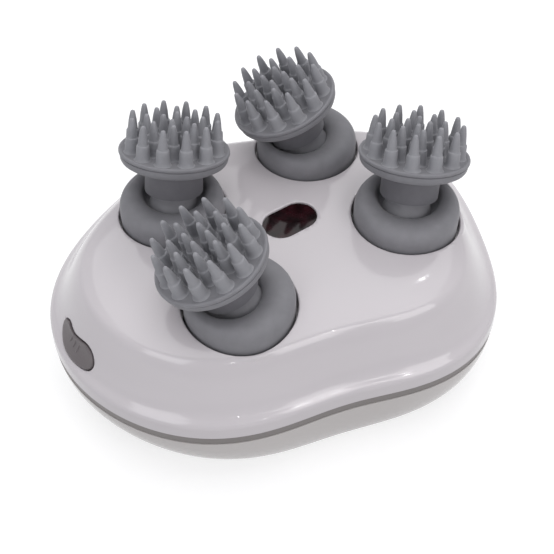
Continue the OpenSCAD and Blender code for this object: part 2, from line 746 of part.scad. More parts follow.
module pin_ring(count, r, turn) for (i = [0 : count - 1]) rotate(turn + i * 360 / count)
  translate([r, 0, face_z - 0.25]) rotate_extrude($fn = 24) pin_profile();
pin_inset = 1.05;
ring_step = 4.05;
outer_ring_r = claw_r - pin_r - pin_inset;
middle_ring_r = outer_ring_r - ring_step;
inner_ring_r = middle_ring_r - ring_step;
middle_turn = 12;
socket_gap = 0.05;
end_gap = 0.2;
module claw(c, way) {
  color("darkgray") translate([c.x, c.y, 0]) leaning(way) difference() {
    union() {
      rotate_extrude() claw_profile();
      pin_ring(outer_pins, outer_ring_r, 0);
      pin_ring(middle_pins, middle_ring_r, middle_turn);
      pin_ring(inner_pins, inner_ring_r, 0);
    }
    translate([0, 0, collar_at - over])
      cylinder(r = stem_r + socket_gap, h = stem_end + over + end_gap);
  }
}

// Central gear: the small gear drives the front and back hubs, the large wheel meets the pinion
sleeve_r = 3.2;
sleeve_z = base_top + spigot_h + bearing_gap;
joint_r = 8;
module central_gear() {
  color("ivory") translate([central.x, central.y, 0]) difference() {
    union() {
      translate([0, 0, sleeve_z]) cylinder(r = sleeve_r, h = wheel_top + bearing_gap - sleeve_z);
      translate([0, 0, gears_top - gear_w]) linear_extrude(gear_w) gear_shape(central_teeth, 0);
      translate([0, 0, gears_top - over]) cylinder(r = joint_r, h = wheel_z - gears_top + 2 * over);
      translate([0, 0, wheel_z]) linear_extrude(wheel_w) gear_shape(wheel_teeth, 0);
    }
    translate([0, 0, base_z]) cylinder(r = central_axle_r + run_fit, h = top_z);
    translate([0, 0, wheel_z - over]) light_holes(wheel_teeth, 3.4, wheel_w + 2 * over);
  }
}

module motor_pinion() {
  color("goldenrod") translate([motor_c.x, motor_c.y, wheel_z]) difference() {
    linear_extrude(wheel_w) gear_shape(pinion_teeth, pinion_phase);
    translate([0, 0, -over]) cylinder(r = motor_shaft_r, h = wheel_w + 2 * over);
  }
}
module motor_shaft() {
  color("gainsboro") translate([motor_c.x, motor_c.y, motor_bore_z + shaft_end_gap])
    cylinder(r = motor_shaft_r, h = wheel_top - motor_bore_z - shaft_end_gap);
}

lower_shell();
trim_band();
upper_shell();
light_window();
base_plate();
cover_plate();
shaft_seals();
hub_axles();
central_axle();
motor();
battery();
circuit_board();
led_board();
leds();
switch_board();
tact_switch();
charge_contacts();
case_screws();
screw_plugs();
button();
hub_gear(front_c, front_phase, true);  // gear_front
hub(front_c, lean_even);  // hub_front
claw(front_c, lean_even);  // claw_front
hub_gear(left_c, left_phase, false);  // gear_left
hub(left_c, lean_odd);  // hub_left
claw(left_c, lean_odd);  // claw_left
hub_gear(right_c, right_phase, false);  // gear_right
hub(right_c, lean_odd);  // hub_right
claw(right_c, lean_odd);  // claw_right
hub_gear(back_c, back_phase, true);  // gear_back
hub(back_c, lean_even);  // hub_back
claw(back_c, lean_even);  // claw_back
central_gear();
motor_pinion();
motor_shaft();
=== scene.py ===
from math import cos, hypot, pi, radians, sin
import bmesh
import bpy
from mathutils import Matrix, Vector
from mathutils.bvhtree import BVHTree


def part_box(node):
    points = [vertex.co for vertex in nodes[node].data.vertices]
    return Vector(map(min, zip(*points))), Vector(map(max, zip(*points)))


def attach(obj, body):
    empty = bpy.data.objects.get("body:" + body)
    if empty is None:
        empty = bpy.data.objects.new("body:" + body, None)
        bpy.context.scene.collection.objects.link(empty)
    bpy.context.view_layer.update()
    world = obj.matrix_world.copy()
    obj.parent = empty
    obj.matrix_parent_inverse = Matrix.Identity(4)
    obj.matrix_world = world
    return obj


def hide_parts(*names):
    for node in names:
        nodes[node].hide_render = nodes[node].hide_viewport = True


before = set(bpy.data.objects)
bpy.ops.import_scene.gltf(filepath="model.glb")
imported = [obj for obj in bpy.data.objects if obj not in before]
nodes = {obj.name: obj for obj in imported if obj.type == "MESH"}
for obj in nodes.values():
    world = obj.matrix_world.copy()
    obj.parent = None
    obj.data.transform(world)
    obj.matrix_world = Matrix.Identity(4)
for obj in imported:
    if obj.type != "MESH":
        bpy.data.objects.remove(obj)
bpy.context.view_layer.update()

mm = 0.001

# ---------------------------------------------------------------- Camera
# The massager lies on a table and is seen from above its near long side, from about arm's length,
# turned so that the button end points to the left.
view_turn = -35.2
view_rise = 49.5
view_reach = 255.1 * mm
view_centre = Vector((3.34, -0.80, 40.0)) * mm
view_right = Vector((cos(radians(view_turn)), sin(radians(view_turn)), 0))
view_back = Vector((sin(radians(view_turn)) * cos(radians(view_rise)),
                    -cos(radians(view_turn)) * cos(radians(view_rise)), sin(radians(view_rise))))
view_up = view_back.cross(view_right)
camera = bpy.data.objects.new("camera", bpy.data.cameras.new("camera"))
camera.data.sensor_width = 36
camera.data.lens = 64.98
camera.data.clip_start = 0.01
camera.location = view_centre + view_back * view_reach - view_right * 3.52 * mm - view_up * 14.79 * mm
camera.rotation_euler = Matrix((view_right, view_up, view_back)).transposed().to_euler()
bpy.context.scene.collection.objects.link(camera)
bpy.context.scene.camera = camera
bpy.context.scene.view_settings.view_transform = "Standard"


# ---------------------------------------------------------------- Table and light
# A white table top six metres square, whose far edge shows only in low views, under one broad soft
# lamp overhead, two side lamps and six small ceiling lamps for small glints on the housing.
def new_finish(name, colour, rough):
    """A plastic or metal finish with its base colour and roughness set, and its node tree."""
    finish = bpy.data.materials.new(name)
    finish.use_nodes = True
    shader = finish.node_tree.nodes["Principled BSDF"]
    shader.inputs["Base Color"].default_value = (*colour, 1)
    shader.inputs["Roughness"].default_value = rough
    return finish, finish.node_tree, shader


def add_node(tree, kind, **settings):
    """One shader node; settings name its properties, or its inputs by their labels."""
    node = tree.nodes.new(kind)
    for name, value in settings.items():
        label = name.replace("_", " ").title()
        if hasattr(node, name):
            setattr(node, name, value)
        else:
            node.inputs[label].default_value = value
    return node


def white_where_seen(tree, lit, strength):
    """Adds a plain white glow to a surface where the camera or a reflection looks at it."""
    path = add_node(tree, "ShaderNodeLightPath")
    seen = add_node(tree, "ShaderNodeMath", operation="MAXIMUM")
    seen_too = add_node(tree, "ShaderNodeMath", operation="MAXIMUM")
    level = add_node(tree, "ShaderNodeMath", operation="MULTIPLY")
    tree.links.new(path.outputs["Is Camera Ray"], seen.inputs[0])
    tree.links.new(path.outputs["Is Glossy Ray"], seen.inputs[1])
    tree.links.new(seen.outputs[0], seen_too.inputs[0])
    tree.links.new(path.outputs["Is Transmission Ray"], seen_too.inputs[1])
    tree.links.new(seen_too.outputs[0], level.inputs[0])
    level.inputs[1].default_value = strength
    glow = add_node(tree, "ShaderNodeEmission")
    tree.links.new(level.outputs[0], glow.inputs["Strength"])
    both = add_node(tree, "ShaderNodeAddShader")
    tree.links.new(lit.outputs[0], both.inputs[0])
    tree.links.new(glow.outputs[0], both.inputs[1])
    return both


table_top = bpy.data.meshes.new("table_top")
table_top.from_pydata([(x, y, 0) for x, y in ((-3, -3), (3, -3), (3, 3), (-3, 3))], [], [(0, 1, 2, 3)])
table = bpy.data.objects.new("table", table_top)
bpy.context.scene.collection.objects.link(table)
table_white, tree, shader = new_finish("table_white", (0.5, 0.5, 0.5), 0.9)
seen_white = white_where_seen(tree, shader, 0.62)
tree.links.new(seen_white.outputs[0], tree.nodes["Material Output"].inputs["Surface"])
table_top.materials.append(table_white)

room = bpy.data.worlds.new("room")
bpy.context.scene.world = room
room.use_nodes = True
tree = room.node_tree
room_light = tree.nodes["Background"]
room_light.inputs["Color"].default_value = (0.95, 0.96, 1, 1)
room_light.inputs["Strength"].default_value = 0.47
room_seen = white_where_seen(tree, room_light, 0.3)
tree.links.new(room_seen.outputs[0], tree.nodes["World Output"].inputs["Surface"])


def add_lamp(name, place, width, watts, colour=(1, 1, 1)):
    """A square lamp at a place in metres that faces the massager."""
    lamp = bpy.data.lights.new(name, "AREA")
    lamp.size = width
    lamp.energy = watts
    lamp.color = colour
    holder = bpy.data.objects.new(name, lamp)
    holder.location = place
    holder.rotation_euler = Vector(place).to_track_quat("Z", "Y").to_euler()
    bpy.context.scene.collection.objects.link(holder)


add_lamp("overhead_lamp", (0.3, 0.45, 1.4), 1.9, 13.5)
add_lamp("window_side_lamp", (-1.2, -0.4, 0.8), 0.7, 3.8, (0.97, 0.98, 1))
add_lamp("near_side_lamp", (0.3, -1.3, 0.8), 0.7, 4.6, (1, 0.98, 0.98))
ceiling_reach, ceiling_width, ceiling_watts = 1.3, 0.03, 0.15
ceiling_ways = ((-101, 35), (-114, 30), (-85, 42), (-94, 39), (24, 56), (38, 50))
for number, (turn, rise) in enumerate(ceiling_ways):
    reach = ceiling_reach * cos(radians(rise))
    spot = (reach * cos(radians(turn)), reach * sin(radians(turn)), ceiling_reach * sin(radians(rise)))
    add_lamp(f"ceiling_lamp_{number}", spot, ceiling_width, ceiling_watts)

# ---------------------------------------------------------------- Lower shell
# The lower half of the housing, a glossy white injection-moulded ABS tub with a flat underside.
# Four plugs hide its screws and two gold pads charge it. It is the same ABS as the upper half; its
# colour is drawn a little darker and warmer as painted shade, for the lesser light that it gets.
body_r = 54.3
swellings = ((2, 6.3, -11.5), (3, 1.35, 60.3), (4, 1.5, 19.7), (5, 1.3, 13.5))
lower_h = 17.5
trim_step = 0.3
tuck = 12.8
around = 288


def seam_point(way, inset):
    """The plan outline at an angle in degrees, moved inwards square to itself by inset (mm)."""
    r = body_r + sum(size * cos(radians(count * (way - turn))) for count, size, turn in swellings)
    slope = sum(-count * size * sin(radians(count * (way - turn))) for count, size, turn in swellings)
    c, s, n = cos(radians(way)), sin(radians(way)), hypot(r, slope)
    return r * c - inset * (r * c + slope * s) / n, r * s - inset * (r * s - slope * c) / n


def make_piece(name, points, faces, finish, body, smooth=40):
    """A mesh object from points in mm, smoothed up to an angle, with its finish, riding on a body."""
    mesh = bpy.data.meshes.new(name)
    mesh.from_pydata([Vector(p) * mm for p in points], [], faces)
    mesh.validate()
    shape = bmesh.new()
    shape.from_mesh(mesh)
    bmesh.ops.recalc_face_normals(shape, faces=shape.faces)
    shape.to_mesh(mesh)
    shape.free()
    mesh.shade_smooth()
    mesh.set_sharp_from_angle(angle=radians(smooth))
    mesh.materials.append(finish)
    piece = bpy.data.objects.new(name, mesh)
    bpy.context.scene.collection.objects.link(piece)
    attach(piece, body)
    return piece


def ring_skin(rings, closed=True):
    """Points and faces of a skin over rings of equally many points; its ends are closed to a fan."""
    n = len(rings[0])
    points = [p for ring in rings for p in ring]
    faces = [(k * n + i, k * n + (i + 1) % n, (k + 1) * n + (i + 1) % n, (k + 1) * n + i)
             for k in range(len(rings) - 1) for i in range(n)]
    if closed:
        for k in (0, len(rings) - 1):
            middle = [sum(p[axis] for p in rings[k]) / n for axis in range(3)]
            points.append(middle)
            faces += [(k * n + i, k * n + (i + 1) % n, len(points) - 1) for i in range(n)]
    return points, faces


def tuck_width(way):
    return tuck + 4.6 * cos(radians(way - 163)) + 7.3 * cos(radians(2 * (way + 23)))


def glossy_white(name, colour):
    """Glossy moulded white ABS: faint cloudiness in the colour and the polish, and a soft ripple."""
    finish, tree, shader = new_finish(name, colour, 0.1)
    place = add_node(tree, "ShaderNodeTexCoord")
    cloud = add_node(tree, "ShaderNodeTexNoise", scale=22.0, detail=3.0)
    tree.links.new(place.outputs["Object"], cloud.inputs["Vector"])
    tint = add_node(tree, "ShaderNodeValToRGB")
    tint.color_ramp.elements[0].color = (*[c * 0.975 for c in colour], 1)
    tint.color_ramp.elements[1].color = (*[min(1, c * 1.02) for c in colour], 1)
    tint.color_ramp.elements[0].position = 0.3
    tint.color_ramp.elements[1].position = 0.7
    tree.links.new(cloud.outputs["Fac"], tint.inputs["Fac"])
    tree.links.new(tint.outputs["Color"], shader.inputs["Base Color"])
    haze = add_node(tree, "ShaderNodeTexNoise", scale=140.0, detail=4.0)
    tree.links.new(place.outputs["Object"], haze.inputs["Vector"])
    polish = add_node(tree, "ShaderNodeMapRange", to_min=0.075, to_max=0.13)
    tree.links.new(haze.outputs["Fac"], polish.inputs["Value"])
    tree.links.new(polish.outputs["Result"], shader.inputs["Roughness"])
    ripple = add_node(tree, "ShaderNodeTexNoise", scale=900.0, detail=2.0)
    tree.links.new(place.outputs["Object"], ripple.inputs["Vector"])
    bump = add_node(tree, "ShaderNodeBump", strength=0.02, distance=0.0001)
    tree.links.new(ripple.outputs["Fac"], bump.inputs["Height"])
    tree.links.new(bump.outputs["Normal"], shader.inputs["Normal"])
    shader.inputs["IOR"].default_value = 1.5
    return finish


housing_white = glossy_white("housing_white", (0.60, 0.565, 0.585))


def cut_with(piece, tool, how="DIFFERENCE"):
    """Cuts a tool's shape out of a piece, or joins it on, and clears the tool away."""
    step = piece.modifiers.new("cut", "BOOLEAN")
    step.operation, step.solver, step.object = how, "EXACT", tool
    ready = piece.evaluated_get(bpy.context.evaluated_depsgraph_get())
    mesh = bpy.data.meshes.new_from_object(ready)
    piece.modifiers.clear()
    piece.data = mesh
    bpy.data.objects.remove(tool)
    shape = bmesh.new()
    shape.from_mesh(mesh)
    bmesh.ops.remove_doubles(shape, verts=shape.verts, dist=2e-6)
    bmesh.ops.dissolve_degenerate(shape, edges=shape.edges, dist=1e-6)
    shape.to_mesh(mesh)
    shape.free()


def turned_tool(profile, centres, sides=64):
    """One cutting tool: a closed profile of (radius, height) turned round each upright centre."""
    points, faces = [], []
    for x, y in centres:
        rings = [[(x + r * cos(2 * pi * i / sides), y + r * sin(2 * pi * i / sides), z)
                  for i in range(sides)] for r, z in profile]
        more, skins = ring_skin(rings)
        faces += [tuple(k + len(points) for k in skin) for skin in skins]
        points += more
    return make_piece("tool", points, faces, housing_white, "housing")


def moved_inwards(section, depth):
    """A section's points moved square to themselves into the material."""
    moved = []
    for i, (x, z) in enumerate(section):
        ax, az = section[max(i - 1, 0)]
        bx, bz = section[min(i + 1, len(section) - 1)]
        length = hypot(bx - ax, bz - az)
        moved.append((x + depth * (bz - az) / length, z - depth * (bx - ax) / length))
    return moved


shell_w = 2.0


def lower_rings(depth, rows, sides):
    """Rings of the lower shell's skin, from the flat underside up to the seam."""
    ways = [360 * i / sides for i in range(sides)]
    sections = []
    for way in ways:
        section = [(trim_step / 2 + tuck_width(way) * (1 - cos(pi / 2 * k / rows)),
                    lower_h * sin(pi / 2 * k / rows)) for k in range(rows + 1)]
        sections.append(moved_inwards(section, depth) if depth else section)
    return [[(*seam_point(way, section[k][0]), max(lower_h - section[k][1], depth))
             for way, section in zip(ways, sections)] for k in range(rows, -1, -1)]


def inner_lift(rings, rise):
    """Rings of a hollow, carried on past the open side, so that it cuts through."""
    return rings + [[(x, y, z + rise) for x, y, z in rings[-1]]]


# Painted shade: the same white ABS, drawn darker and warmer than the upper shell's.
lower_white_painted_shade = glossy_white("lower_white_painted_shade", (0.53, 0.50, 0.49))
lower_shell = make_piece("lower_shell_skin", *ring_skin(lower_rings(0, 28, around)), lower_white_painted_shade,
                         "housing")
hollow = inner_lift(lower_rings(shell_w, 12, 96), 1)
cut_with(lower_shell, make_piece("tool", *ring_skin(hollow), housing_white, "housing"))
post_places = [(x * body_r, y * body_r)
               for x, y in ((-0.755, 0.028), (0.212, -0.645), (0.018, 0.626), (0.801, 0.037))]
post_r = 3.4
post_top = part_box("base_plate")[0].z / mm
cut_with(lower_shell, turned_tool(((post_r, 1), (post_r, post_top)), post_places, 32), "UNION")
plug_r = 2.29
cut_with(lower_shell, turned_tool(((plug_r + 0.35, -1), (plug_r + 0.35, 0), (plug_r + 0.05, 0.3),
                                   (plug_r, 0.4), (plug_r, 6), (1.4, 6), (1.4, 30)), post_places, 48))
contact_places = [(0.516 * body_r, 0.074 * body_r + side * 3) for side in (-1, 1)]
cut_with(lower_shell, turned_tool(((1.5, -1), (1.5, 4)), contact_places, 32))
lower_shell.data.set_sharp_from_angle(angle=radians(35))
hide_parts("lower_shell")

# ---------------------------------------------------------------- Screw plugs and charging pads
# Soft white plugs pressed in over the four case screws, and two gold-plated pads set just below the
# underside, which take the charging lead's magnets.


def satin(name, colour, rough, grain, depth):
    """Satin plastic, rubber or coated metal with a fine spark-eroded grain of the given density."""
    finish, tree, shader = new_finish(name, colour, rough)
    place = add_node(tree, "ShaderNodeTexCoord")
    fine = add_node(tree, "ShaderNodeTexNoise", scale=grain, detail=5.0)
    tree.links.new(place.outputs["Object"], fine.inputs["Vector"])
    tint = add_node(tree, "ShaderNodeValToRGB")
    tint.color_ramp.elements[0].color = (*[c * 0.9 for c in colour], 1)
    tint.color_ramp.elements[1].color = (*[min(1, c * 1.08) for c in colour], 1)
    tree.links.new(fine.outputs["Fac"], tint.inputs["Fac"])
    tree.links.new(tint.outputs["Color"], shader.inputs["Base Color"])
    wear = add_node(tree, "ShaderNodeMapRange", to_min=rough - 0.06, to_max=rough + 0.06)
    tree.links.new(fine.outputs["Fac"], wear.inputs["Value"])
    tree.links.new(wear.outputs["Result"], shader.inputs["Roughness"])
    bump = add_node(tree, "ShaderNodeBump", strength=depth, distance=0.0002)
    tree.links.new(fine.outputs["Fac"], bump.inputs["Height"])
    tree.links.new(bump.outputs["Normal"], shader.inputs["Normal"])
    return finish


def dress(names, finish, metal=0.0):
    """Gives CAD pieces a finish in place of their plain one."""
    finish.node_tree.nodes["Principled BSDF"].inputs["Metallic"].default_value = metal
    for name in names:
        nodes[name].data.materials.clear()
        nodes[name].data.materials.append(finish)


dress(["screw_plugs"], satin("plug_white", (0.56, 0.53, 0.55), 0.5, 1500.0, 0.1))
dress(["charge_contacts"], satin("contact_gold", (0.83, 0.62, 0.27), 0.28, 3000.0, 0.05), 1.0)

# ---------------------------------------------------------------- Trim band
# A satin grey ABS ring that lies in a shallow step between the two shells and is clamped by them.
trim_h = 2.9
band_w = 1.8
edge = 0.12
band_rings = [[(*seam_point(360 * i / around, inset), lower_h + up) for i in range(around)]
              for inset, up in ((trim_step + band_w, 0.02), (trim_step + edge, 0.02),
                                (trim_step, edge), (trim_step, trim_h / 2), (trim_step, trim_h - edge),
                                (trim_step + edge, trim_h - 0.02), (trim_step + band_w, trim_h - 0.02))]
points, faces = ring_skin(band_rings + band_rings[:1], closed=False)
trim_grey = satin("trim_grey", (0.195, 0.178, 0.172), 0.42, 1800.0, 0.12)
trim_band = make_piece("trim_band_ring", points, faces, trim_grey, "housing")
shape = bmesh.new()
shape.from_mesh(trim_band.data)
bmesh.ops.remove_doubles(shape, verts=shape.verts, dist=1e-7)
bmesh.ops.recalc_face_normals(shape, faces=shape.faces)
shape.to_mesh(trim_band.data)
shape.free()
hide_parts("trim_band")

# ---------------------------------------------------------------- Upper shell
# The glossy white top half: an upright brim, a small round shoulder, an ogee slope up to a gentle
# dome. Moulded in one with four round wells that the hubs turn in, under a low rim each.
trim_z = lower_h + trim_h
# The slope meets the dome 0.4 mm lower than in the solid, for a softer edge
crown_h, dome_h, brim_h = 18.3, 1.7, 4.4
crown_z = trim_z + crown_h
top_z = crown_z + dome_h
rim_z = top_z - 0.4
well_z = rim_z - 5.4
shoulder = Vector((1.9, brim_h + 0.7))
hub_places = {name: tuple((c / mm for c in (sum(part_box("hub_" + name), Vector()) / 2)[:2]))
              for name in ("front", "left", "right", "back")}
opening_r = 14.0


def slope_width(way):
    return 10.2 + 6 * ((1 + cos(radians(way - 51))) / 2) ** 2


def ogee(s):
    """The slope's rise from 0 to 1: steeper where it leaves the shoulder, then easing into the top."""
    return 0.56 * (s ** 3 - 2 * s * s + s) + 3 * s * s - 2 * s ** 3 + 0.2 * (s ** 3 - s * s)


def upper_section(way, rows):
    """The section at an angle, as (inset, height over the band): brim, round shoulder, slope."""
    start, lean = Vector((0.2, brim_h - 1.5)), Vector((0.26, brim_h - 0.35))
    end = Vector((1.2, brim_h + 0.12))
    section = [(0, 0), (0.07, 1), (0.14, 2)]
    for k in range(rows // 4 + 1):
        t = k / (rows // 4)
        spot = (start * (1 - t) ** 3 + lean * 3 * t * (1 - t) ** 2 + end * 3 * t * t * (1 - t)
                + shoulder * t ** 3)
        section.append(tuple(spot))
    run, rise = slope_width(way) - shoulder.x, crown_h - shoulder.y
    for k in range(1, rows + 1):
        section.append((shoulder.x + k / rows * run, shoulder.y + rise * ogee(k / rows)))
    return section


def upper_rings(depth, rows, sides, dome_rows):
    """Rings of the upper shell's skin, from the band up over the dome, moved inwards by depth."""
    ways = [360 * i / sides for i in range(sides)]
    sections = [upper_section(way, rows) for way in ways]
    if depth:
        sections = [moved_inwards([p for k, p in enumerate(s) if k % 4 == 0 or k > rows // 3], depth)
                    for s in sections]
    rings = [[(*seam_point(way, s[k][0]), trim_z + s[k][1]) for way, s in zip(ways, sections)]
             for k in range(len(sections[0]))]
    edge_ring = rings[-1]
    for k in range(1, dome_rows):
        t = k / dome_rows
        ring = []
        for (x, y, z), section in zip(edge_ring, sections):
            (near, low), (far, high) = section[-2:]
            rise = top_z - depth - z
            ease = max(2, (high - low) / (far - near) * hypot(x, y) / rise)
            ring.append((x * (1 - t), y * (1 - t), z + rise * (1 - (1 - t) ** ease)))
        rings.append(ring)
    return rings


upper_shell = make_piece("upper_shell_skin", *ring_skin(upper_rings(0, 36, around, 40)), housing_white,
                         "housing")
rim_r, rim_top, rim_flare = opening_r + 0.9, top_z - 2.0, 0.24
rim_foot = trim_z + 5.6
rim_profile = [(rim_r + (rim_top - rim_foot) * rim_flare, rim_foot), (rim_r + 0.3, rim_top - 0.9),
               (rim_r + 0.2, rim_top - 0.5), (rim_r, rim_top - 0.2), (rim_r - 0.3, rim_top)]
cut_with(upper_shell, turned_tool(rim_profile, hub_places.values(), 128), "UNION")
cavity_rings = upper_rings(shell_w, 16, 96, 6)
below = [[(x, y, trim_z - 1) for x, y, z in cavity_rings[0]]]
cavity = make_piece("tool", *ring_skin(below + cavity_rings), housing_white, "housing")
floor_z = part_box("cover_plate")[1].z / mm
cut_with(cavity, turned_tool(((opening_r + 1.6, floor_z), (opening_r + 1.6, 50)), hub_places.values()))
cut_with(cavity, turned_tool(((post_r, floor_z), (post_r, 50)), post_places, 32))
cut_with(upper_shell, cavity)
skin_tree = BVHTree.FromPolygons([Vector(v.co) / mm for v in upper_shell.data.vertices],
                                 [tuple(p.vertices) for p in upper_shell.data.polygons])


def hole_tool(outline, place, flare, base):
    """A tool for a hole with a softly rounded edge, which follows the skin. The outline's (x, y) are
    in the frame of place, whose z axis points out of the hole; base holds the rings under the edge."""
    out_of = place.to_3x3() @ Vector((0, 0, 1))
    rings = [[] for _ in range(5)]
    for i, (x, y) in enumerate(outline):
        ahead = Vector(outline[(i + 1) % len(outline)]) - Vector(outline[i - 1])
        out = Vector((ahead.y, -ahead.x)).normalized()
        start = place @ Vector((x + out.x * 0.2, y + out.y * 0.2, 60))
        level = (place.inverted() @ skin_tree.ray_cast(start, -out_of)[0]).z
        for ring, (wide, up) in zip(rings, ((0, -1), (0.1, -0.6), (0.3, -0.28), (0.65, -0.07),
                                            (1.3, 0.25))):
            ring.append(tuple(place @ Vector((x + out.x * wide * flare, y + out.y * wide * flare,
                                              level + up * flare))))
    lid = [tuple(Vector(p) + out_of * 6) for p in rings[-1]]
    return ring_skin(base + rings + [lid])


def flat_ring(outline, place, level):
    return [tuple(place @ Vector((x, y, level))) for x, y in outline]


def circle_outline(r, sides=96):
    """A circle, turned a little so that no corner falls on one of the shell's own rows."""
    return [(r * cos(2 * pi * (i + 0.37) / sides), r * sin(2 * pi * (i + 0.37) / sides))
            for i in range(sides)]


def joined(forms):
    """Several closed forms that don't touch, as the points and faces of one."""
    points, faces = [], []
    for more, skins in forms:
        faces += [tuple(k + len(points) for k in skin) for skin in skins]
        points += more
    return points, faces


cutters = []
shaft_hole_r, seal_r, seal_t = 4.4, 6.4, 1.2
for x, y in hub_places.values():
    place = Matrix.Translation((x, y, 0))
    base = [flat_ring(circle_outline(r), place, z)
            for r, z in ((shaft_hole_r, floor_z - 1), (shaft_hole_r, well_z - seal_t),
                         (seal_r, well_z - seal_t), (seal_r, well_z), (opening_r, well_z))]
    cutters.append(hole_tool(circle_outline(opening_r), place, 0.35, base))


def slot_outline(length, width, step=10):
    """A slot with round ends, as points counterclockwise."""
    ends = []
    for side in (1, -1):
        for a in range(-90, 91, step):
            ends.append((side * ((length - width) / 2 + width / 2 * cos(radians(a))),
                         side * width / 2 * sin(radians(a))))
    return ends


window_centre, window_len, window_w = (0.052 * body_r, -0.02 * body_r), 15.0, 9.4
slot = slot_outline(window_len, window_w)
window_place = Matrix.Translation((*window_centre, 0))
cutters.append(hole_tool(slot, window_place, 0.3, [flat_ring(slot, window_place, floor_z + 2)]))

# The button's own frame: z points out of the slope, x runs along the seam, y points up the slope. Its
# height is the solid button's, so that the press ends on the switch as it does there.
button_way, button_in, button_tilt = 175.8, 3.7, 54.0
button_z = 27.987
button_spot = Vector((*seam_point(button_way, button_in), button_z))
button_place = (Matrix.Translation(button_spot) @ Matrix.Rotation(radians(button_way), 4, "Z")
                @ Matrix.Rotation(radians(button_tilt), 4, "Y") @ Matrix.Rotation(pi / 2, 4, "Z"))
button_len, button_w = 15.6, 6.6
button_marks = ((-1, 0.14), (-0.96, 0.5), (-0.71, 0.76), (-0.49, 0.64), (-0.22, 0.56), (0.13, 0.77),
                (0.46, 1), (0.72, 0.94), (0.89, 0.64), (1, 0.18), (0.95, -0.36), (0.74, -0.7),
                (0.27, -0.97), (-0.19, -1), (-0.59, -0.77), (-0.89, -0.3))


def drop_outline(grow, steps=6):
    """The button's outline, a drop bent like a bean: a smooth closed curve through its marks, which
    are shares of half its length and width, grown outwards by a fit or a flange."""
    marks = [Vector((x * button_len, y * button_w)) / 2 for x, y in reversed(button_marks)]
    curve = []
    for k in range(len(marks)):
        a, b, c, d = (marks[(k + j) % len(marks)] for j in (-1, 0, 1, 2))
        for i in range(steps):
            t = i / steps
            curve.append((2 * b + (c - a) * t + (2 * a - 5 * b + 4 * c - d) * t * t
                          + (3 * b - a - 3 * c + d) * t ** 3) / 2)
    grown = []
    for i, p in enumerate(curve):
        ahead = curve[(i + 1) % len(curve)] - curve[i - 1]
        grown.append(tuple(p + Vector((ahead.y, -ahead.x)).normalized() * grow))
    return grown


button_fit = 0.3
drop = drop_outline(button_fit)
cutters.append(hole_tool(drop, button_place, 0.3, [flat_ring(drop, button_place, -8)]))
cut_with(upper_shell, make_piece("tool", *joined(cutters), housing_white, "housing"))
back_room = [(19.2, 15), (19.2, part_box("cover_plate")[0].z / mm - 3.3)]
cut_with(upper_shell, turned_tool(back_room, [hub_places["back"]], 96))
upper_shell.data.set_sharp_from_angle(angle=radians(35))
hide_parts("upper_shell")

# ---------------------------------------------------------------- Light window
# A polished dark red lens in a flanged slot, glued in from below; unlit it looks nearly black.
lens_red, tree, shader = new_finish("lens_red", (0.012, 0.003, 0.004), 0.07)
shader.inputs["IOR"].default_value = 1.5
shader.inputs["Specular IOR Level"].default_value = 0.28
place = add_node(tree, "ShaderNodeTexCoord")
smoke = add_node(tree, "ShaderNodeTexNoise", scale=260.0, detail=2.0)
tree.links.new(place.outputs["Object"], smoke.inputs["Vector"])
glint = add_node(tree, "ShaderNodeValToRGB")
glint.color_ramp.elements[0].color = (0.006, 0.0015, 0.002, 1)
glint.color_ramp.elements[1].color = (0.03, 0.006, 0.009, 1)
glint.color_ramp.elements[0].position = 0.35
glint.color_ramp.elements[1].position = 0.75
tree.links.new(smoke.outputs["Fac"], glint.inputs["Fac"])
tree.links.new(glint.outputs["Color"], shader.inputs["Base Color"])
dress(["light_window"], lens_red)

# ---------------------------------------------------------------- Button
# A satin grey ABS push button, a bean-like drop that follows the slope, moulded with a flange that
# keeps it in and three small tactile bars for the thumb.
button_grey = satin("button_grey", (0.135, 0.118, 0.122), 0.4, 1400.0, 0.15)
button_proud = 0.75
button_back = 4.2
bean = drop_outline(0)
middle = Vector((sum(p[0] for p in bean) / len(bean), sum(p[1] for p in bean) / len(bean)))
levels = []
for x, y in bean:
    hit = skin_tree.ray_cast(button_place @ Vector((x, y, 60)),
                             button_place.to_3x3() @ Vector((0, 0, -1)))[0]
    levels.append((button_place.inverted() @ hit).z)
crown_level = sum(levels) / len(levels) + button_proud
bean_rings = []
flange = 1.1
for grow, depth in ((flange, -button_back), (flange, -button_back + 1), (0, -button_back + 1)):
    bean_rings.append([tuple(button_place @ Vector((*p, depth))) for p in drop_outline(grow)])
for inward, sunk in ((0, 0.42), (0.04, 0.22), (0.16, 0.08), (0.4, 0.0)):
    ring = []
    for (x, y), level in zip(bean, levels):
        spot = Vector((x, y)) + (middle - Vector((x, y))).normalized() * inward
        ring.append(tuple(button_place @ Vector((*spot, level + 0.5 - sunk))))
    bean_rings.append(ring)
for k in range(1, 9):
    t = k / 9
    ring = []
    for (x, y), level in zip(bean, levels):
        spot = Vector((x, y)).lerp(middle, 0.1 + 0.9 * t)
        high = (level + 0.5) * (1 - t) ** 2 + crown_level * (1 - (1 - t) ** 2)
        ring.append(tuple(button_place @ Vector((*spot, high))))
    bean_rings.append(ring)
cap_points, cap_faces = ring_skin(bean_rings)
cap_tree = BVHTree.FromPolygons([Vector(p) for p in cap_points], cap_faces)
bars = [(cap_points, cap_faces)]
bar_places = ((-1.7, 0.8), (0.1, 1.15), (1.9, 1.3))
bar_half_w, bar_rise, bar_sink, bar_rows, bar_sides = 0.34, 0.3, 0.04, 7, 24
